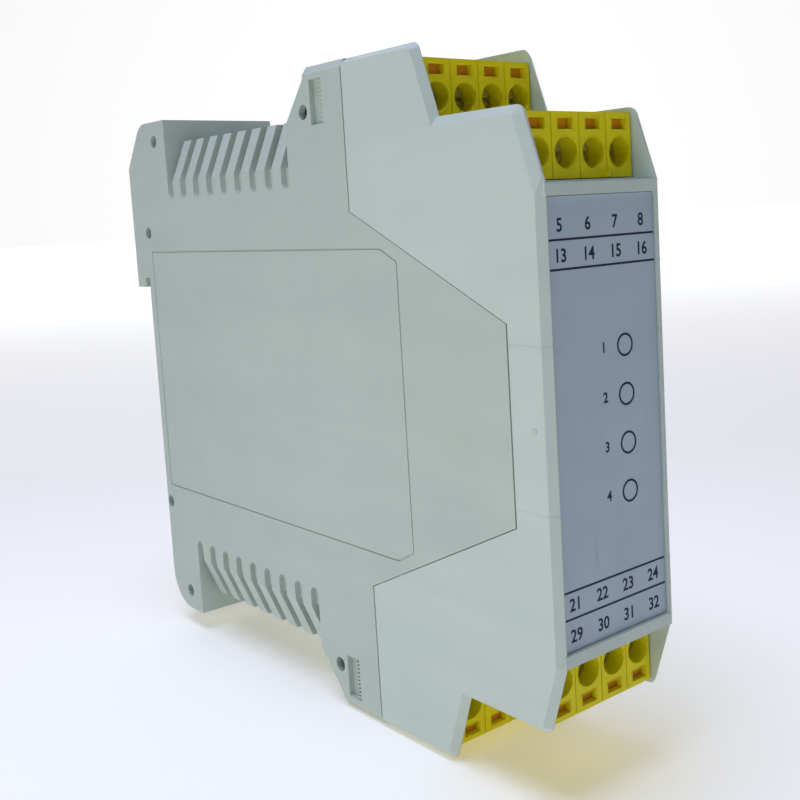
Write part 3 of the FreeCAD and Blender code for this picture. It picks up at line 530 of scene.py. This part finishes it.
def dress_nodes():
    """Give every carried-over solid its finish."""
    for name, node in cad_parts.items():
        kind = NODE_FINISHES.get(name) or KIND_FINISHES[name.split("_")[0]]
        for place in node.material_slots:
            place.material = FINISHES[kind].material


# ---------------------------------------------------------------- grown repeats
def new_tree(name, sizes):
    """An empty geometry tree with a named input for each size, in metres or a count."""
    tree = bpy.data.node_groups.new(name, "GeometryNodeTree")
    tree.interface.new_socket(name="Geometry", in_out="OUTPUT",
                              socket_type="NodeSocketGeometry")
    for size, value in sizes.items():
        kind = "NodeSocketInt" if isinstance(value, int) else "NodeSocketFloat"
        kind = "NodeSocketVector" if isinstance(value, tuple) else kind
        tree.interface.new_socket(name=size, in_out="INPUT", socket_type=kind)
    return tree


class Grower:
    """Builds one geometry tree and grows plain meshes from it."""

    def __init__(self, name, **sizes):
        self.tree = new_tree(name, sizes)
        self.sizes = sizes
        self.inputs = self.tree.nodes.new("NodeGroupInput")
        self.material = self.tree.nodes.new("GeometryNodeSetMaterial")
        output = self.tree.nodes.new("NodeGroupOutput")
        self.tree.links.new(self.material.outputs[0], output.inputs[0])

    def add(self, kind, settings=None, **wires):
        node = self.tree.nodes.new(kind)
        for key, value in (settings or {}).items():
            setattr(node, key, value)
        for socket, value in wires.items():
            self.wire(node, socket.replace("_", " "), value)
        return node

    def wire(self, node, socket, value):
        place = node.inputs[socket]
        if isinstance(value, str):
            self.tree.links.new(self.inputs.outputs[value], place)
        elif hasattr(value, "is_output"):
            self.tree.links.new(value, place)
        else:
            place.default_value = value

    def end(self, geometry):
        real = self.add("GeometryNodeRealizeInstances", Geometry=geometry)
        self.tree.links.new(real.outputs[0], self.material.inputs["Geometry"])

    def grow(self, name, finish, **sizes):
        """A plain mesh object from the tree, with its modifier gone."""
        self.material.inputs["Material"].default_value = FINISHES[finish].material
        piece = bpy.data.objects.new(name, bpy.data.meshes.new(name + "_seed"))
        bpy.context.scene.collection.objects.link(piece)
        modifier = piece.modifiers.new("grown", "NODES")
        modifier.node_group = self.tree
        for socket in self.tree.interface.items_tree:
            if socket.in_out == "INPUT":
                modifier[socket.identifier] = sizes.get(socket.name, self.sizes[socket.name])
        depsgraph = bpy.context.evaluated_depsgraph_get()
        mesh = bpy.data.meshes.new_from_object(piece.evaluated_get(depsgraph))
        mesh.name = name
        piece.modifiers.clear()
        piece.data = mesh
        return piece


def outline_row_tree(name, square):
    """A row of closed outlines that face the front, each a ridge with a flat section."""
    rows = Grower(name, count=4, pitch=(POLE_PITCH, 0.0, 0.0), start=(0.0, 0.0, 0.0),
                  width=3 * MM, height=3 * MM, ridge=0.2 * MM, rise=0.05 * MM, segments=40)
    if square:
        ring = rows.add("GeometryNodeCurvePrimitiveQuadrilateral", Width="width",
                        Height="height").outputs[0]
    else:
        half = rows.add("ShaderNodeMath", {"operation": "DIVIDE"})
        rows.wire(half, 0, "width")
        rows.wire(half, 1, 2.0)
        ring = rows.add("GeometryNodeCurvePrimitiveCircle", Radius=half.outputs[0],
                        Resolution="segments").outputs[0]
    level = rows.add("GeometryNodeSetCurveNormal", {"mode": "Z_UP"}, Curve=ring)
    section = rows.add("GeometryNodeCurvePrimitiveQuadrilateral", Width="ridge",
                       Height="rise").outputs[0]
    body = rows.add("GeometryNodeCurveToMesh", Curve=level.outputs[0],
                    Profile_Curve=section).outputs[0]
    upright = rows.add("GeometryNodeTransform", Geometry=body,
                       Rotation=(math.pi / 2, 0, 0)).outputs[0]
    spots = rows.add("GeometryNodeMeshLine", Count="count", Start_Location="start",
                     Offset="pitch").outputs[0]
    rows.end(rows.add("GeometryNodeInstanceOnPoints", Points=spots,
                      Instance=upright).outputs[0])
    return rows


def tab_row_tree():
    """A row of plain blocks, all of one size."""
    rows = Grower("row_of_tabs", count=4, pitch=(POLE_PITCH, 0.0, 0.0),
                  start=(0.0, 0.0, 0.0), size=(MM, MM, MM))
    block = rows.add("GeometryNodeMeshCube", Size="size").outputs[0]
    spots = rows.add("GeometryNodeMeshLine", Count="count", Start_Location="start",
                     Offset="pitch").outputs[0]
    rows.end(rows.add("GeometryNodeInstanceOnPoints", Points=spots,
                      Instance=block).outputs[0])
    return rows


def coil_tree():
    """Round wire wound into a coil that rises along +Z, with a flat turn at each end."""
    coil = Grower("wound_wire", turns=7.0, radius=1.5 * MM, wire=0.25 * MM,
                  height=9 * MM, steps=40, sides=10, end_rise=0.4 * MM, end_turns=1.0)
    section = coil.add("GeometryNodeCurvePrimitiveCircle", Radius="wire",
                       Resolution="sides").outputs[0]
    lift = coil.add("ShaderNodeCombineXYZ", Z="height").outputs[0]
    drop = coil.add("ShaderNodeMath", {"operation": "MULTIPLY"})
    coil.wire(drop, 0, "end_rise")
    coil.wire(drop, 1, -1.0)
    sink = coil.add("ShaderNodeCombineXYZ", Z=drop.outputs[0]).outputs[0]
    whole = coil.add("GeometryNodeJoinGeometry")
    for turns, rise, place in (("turns", "height", None), ("end_turns", "end_rise", lift),
                               ("end_turns", "end_rise", sink)):
        line = coil.add("GeometryNodeCurveSpiral", Resolution="steps", Rotations=turns,
                        Start_Radius="radius", End_Radius="radius", Height=rise).outputs[0]
        tube = coil.add("GeometryNodeCurveToMesh", Curve=line, Profile_Curve=section,
                        Fill_Caps=True).outputs[0]
        if place:
            tube = coil.add("GeometryNodeTransform", Geometry=tube,
                            Translation=place).outputs[0]
        coil.tree.links.new(tube, whole.inputs[0])
    coil.end(whole.outputs[0])
    return coil


OUTLINE_ROWS = {"round": outline_row_tree("row_of_round_rims", False),
                "square": outline_row_tree("row_of_square_rims", True)}
TAB_ROW = tab_row_tree()
COIL = coil_tree()


def settle(piece, body, matrix=Matrix()):
    """Put a finished piece's mesh in its place and let it ride on a body."""
    piece.data.transform(matrix)
    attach(piece, body)


# ---------------------------------------------------------------- label print
LABEL_FACE = behind_front(0.55)
PRINT_THICKNESS = 0.012 * MM
# Each row of terminal figures: its height in millimetres and its first figure.
NUMBER_ROWS = ((24.8, 5), (21.1, 13), (-22.4, 21), (-26.4, 29))
FIGURE_SHIFT = -0.1 * MM
FIGURE_HEIGHT = 1.62 * MM
FIGURE_NARROWING = 0.95
FIGURE_STROKE_GAIN = 0.05 * MM
CAP_HEIGHT_SHARE = 0.7

LAMPS = range(4)
LAMP_X = 3.5 * MM
LAMP_TOP = 9.05 * MM
LAMP_PITCH = 6.38 * MM
LAMP_FIGURE_HEIGHT = 1.3 * MM
RING_WIDTH = 2.75 * MM
RING_LINE = 0.3 * MM

# Ruled lines run across the film, with a short tick on the frame beside each.
LINE_HEIGHTS = (23.1, 19.5, -20.6, -24.1)
HALF_LINE = 0.14 * MM
LINE_ENDS = (-9.55 * MM, 9.8 * MM)
TICK_ENDS = (10.47 * MM, 10.63 * MM)
TICK_FACE = behind_front(0.15)
TICK_BACK = behind_front(0.32)
TO_FRONT = Matrix.Rotation(math.pi / 2, 4, "X")


def written(text, x, z, cap_height, align="CENTER"):
    """Plain figures as a thin mesh on the label, their middle at a height."""
    words = bpy.data.curves.new("figures", "FONT")
    words.body = text
    words.size = cap_height / CAP_HEIGHT_SHARE
    words.align_x = align
    words.align_y = "CENTER"
    words.extrude = PRINT_THICKNESS / 2
    words.offset = FIGURE_STROKE_GAIN
    words.resolution_u = 3
    holder = bpy.data.objects.new("figures", words)
    bpy.context.scene.collection.objects.link(holder)
    depsgraph = bpy.context.evaluated_depsgraph_get()
    mesh = bpy.data.meshes.new_from_object(holder.evaluated_get(depsgraph))
    bpy.data.objects.remove(holder)
    narrow = Matrix.Diagonal((FIGURE_NARROWING, 1.0, 1.0, 1.0))
    mesh.transform(Matrix.Translation((x, LABEL_FACE - PRINT_THICKNESS / 2, z))
                   @ TO_FRONT @ narrow)
    return mesh


def slab_mesh(low, high):
    """A thin box between two corners."""
    mesh = bpy.data.meshes.new("slab")
    corners = [(x, y, z) for x in (low[0], high[0]) for y in (low[1], high[1])
               for z in (low[2], high[2])]
    mesh.from_pydata(corners, [], [(0, 1, 3, 2), (4, 6, 7, 5), (0, 4, 5, 1), (2, 3, 7, 6),
                                   (0, 2, 6, 4), (1, 5, 7, 3)])
    return mesh


def joined(name, meshes, finish):
    """One object from several meshes that are already in place."""
    whole = bmesh.new()
    for mesh in meshes:
        whole.from_mesh(mesh)
        bpy.data.meshes.remove(mesh)
    result = bpy.data.meshes.new(name)
    whole.to_mesh(result)
    whole.free()
    result.materials.append(FINISHES[finish].material)
    for face in result.polygons:
        face.material_index = 0
    piece = bpy.data.objects.new(name, result)
    bpy.context.scene.collection.objects.link(piece)
    return piece


def print_label():
    """Terminal figures, ruled lines, lamp figures and lamp rings."""
    meshes = []
    for height, first in NUMBER_ROWS:
        for pole in POLES:
            x = (pole - 1.5) * POLE_PITCH + FIGURE_SHIFT
            meshes.append(written(str(first + pole), x, height * MM, FIGURE_HEIGHT))
    for lamp in LAMPS:
        meshes.append(written(str(lamp + 1), FIGURE_SHIFT, LAMP_TOP - lamp * LAMP_PITCH,
                              LAMP_FIGURE_HEIGHT, "RIGHT"))
    for height in LINE_HEIGHTS:
        low, high = height * MM - HALF_LINE, height * MM + HALF_LINE
        meshes.append(slab_mesh((TICK_ENDS[0], TICK_FACE, low),
                                (TICK_ENDS[1], TICK_BACK, high)))
        meshes.append(slab_mesh((LINE_ENDS[0], LABEL_FACE - PRINT_THICKNESS, low),
                                (LINE_ENDS[1], LABEL_FACE, high)))
    settle(joined("label_figures_and_lines", meshes, "ink"), "case")
    rings = OUTLINE_ROWS["round"].grow(
        "lamp_rings", "ink", pitch=(0.0, 0.0, -LAMP_PITCH),
        start=(LAMP_X, LABEL_FACE - PRINT_THICKNESS / 2, LAMP_TOP), width=RING_WIDTH,
        ridge=RING_LINE, rise=PRINT_THICKNESS, segments=64)
    settle(rings, "case")


# ---------------------------------------------------------------- plugs
FACE_DEPTH = {"front": 3.75, "rear": 22.05}
AXIS_HEIGHT = {"front": 33.65 * MM, "rear": 42.48 * MM}
WINDOW_MIDDLE = 3.625 * MM
RIM_RISE = 0.05 * MM
HOLE_RIM = {"width": 4.14 * MM, "ridge": 0.16 * MM, "segments": 48}
WINDOW_RIM = {"width": 2.82 * MM, "height": 1.57 * MM, "ridge": 0.18 * MM}
PLATE_SIZE = (2.55 * MM, 0.3 * MM, 1.3 * MM)
PLATE_DEPTH = 0.95 * MM

THREAD_LENGTH = 4.3 * MM
THREAD_TO_HEAD = 0.2 * MM
THREAD = {"turns": 8.6, "radius": 1.45 * MM, "wire": 0.09 * MM, "height": THREAD_LENGTH,
          "steps": 18, "sides": 4, "end_rise": 0.0, "end_turns": 0.05}
ALONG_SCREW = Matrix.Rotation(-math.pi / 2, 4, "X")


def detail_plug(seat):
    """Raised rims round the screw holes and test windows, and the plates behind them."""
    end, row = seat.split("_")
    sign = 1 if end == "upper" else -1
    face = behind_front(FACE_DEPTH[row])
    axis = sign * AXIS_HEIGHT[row]
    window = axis + sign * WINDOW_MIDDLE
    holes = OUTLINE_ROWS["round"].grow(
        "screw_hole_rims_" + seat, "plug", start=(FIRST_POLE, face - RIM_RISE / 2, axis),
        rise=RIM_RISE, **HOLE_RIM)
    frames = OUTLINE_ROWS["square"].grow(
        "test_window_rims_" + seat, "plug", start=(FIRST_POLE, face - RIM_RISE / 2, window),
        rise=RIM_RISE, **WINDOW_RIM)
    plates = TAB_ROW.grow("test_window_plates_" + seat, "probe",
                          start=(FIRST_POLE, face + PLATE_DEPTH, window), size=PLATE_SIZE)
    body = "plug_" + seat
    settle(holes, body)
    settle(frames, body)
    settle(plates, body)


def thread_screws(seat):
    """A fine thread on each clamp screw, and its own ride with that screw."""
    for pole in POLES:
        number = pole + 1
        low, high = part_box("screw_%s_%d" % (seat, number))
        x, z = (low.x + high.x) / 2, (low.z + high.z) / 2
        thread = COIL.grow("screw_thread_%s_%d" % (seat, number), "screw", **THREAD)
        start = Matrix.Translation((x, high.y - THREAD_LENGTH - THREAD_TO_HEAD, z))
        settle(thread, "screw_%s_%d" % (seat, number),
               start @ ALONG_SCREW)


# ---------------------------------------------------------------- case details
SPRING_WIRE = 0.25 * MM
SPRING_TURNS = 5.5
SPRING_END_RISE = 0.5 * MM

RIB_COUNT = 10
RIB_PITCH = 0.62 * MM
RIB_SIZE = (0.8 * MM, 0.9 * MM, 0.30 * MM)
RIB_X = -10.75 * MM
RIB_DEPTH = behind_front(44.3)
FIRST_RIB_HEIGHT = 41.55 * MM


def wind_spring():
    """The foot's return spring, wound in the place of the carried-over spring, which is
    hidden.
    """
    low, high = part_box("foot_spring")
    height = high.z - low.z - 2 * SPRING_WIRE - 2 * SPRING_END_RISE
    spring = COIL.grow("foot_return_spring", "spring", turns=SPRING_TURNS,
                       radius=(high.x - low.x) / 2 - SPRING_WIRE, wire=SPRING_WIRE,
                       height=height, end_rise=SPRING_END_RISE)
    middle = (low + high) / 2
    foot_end = low.z + SPRING_WIRE + SPRING_END_RISE
    settle(spring, "case",
           Matrix.Translation((middle.x, middle.y, foot_end)))
    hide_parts("foot_spring")
    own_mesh(spring)


def rib_date_windows():
    """Short ribs down the front edge of each moulding-date window."""
    for end, sign in (("upper", 1), ("lower", -1)):
        ribs = TAB_ROW.grow("date_window_ribs_" + end, "housing", count=RIB_COUNT,
                            pitch=(0.0, 0.0, sign * RIB_PITCH),
                            start=(RIB_X, RIB_DEPTH, sign * FIRST_RIB_HEIGHT),
                            size=RIB_SIZE)
        settle(ribs, "case")


dress_nodes()
place_camera()
build_studio()
print_label()
for seat_name in SEATS:
    detail_plug(seat_name)
    thread_screws(seat_name)
wind_spring()
rib_date_windows()
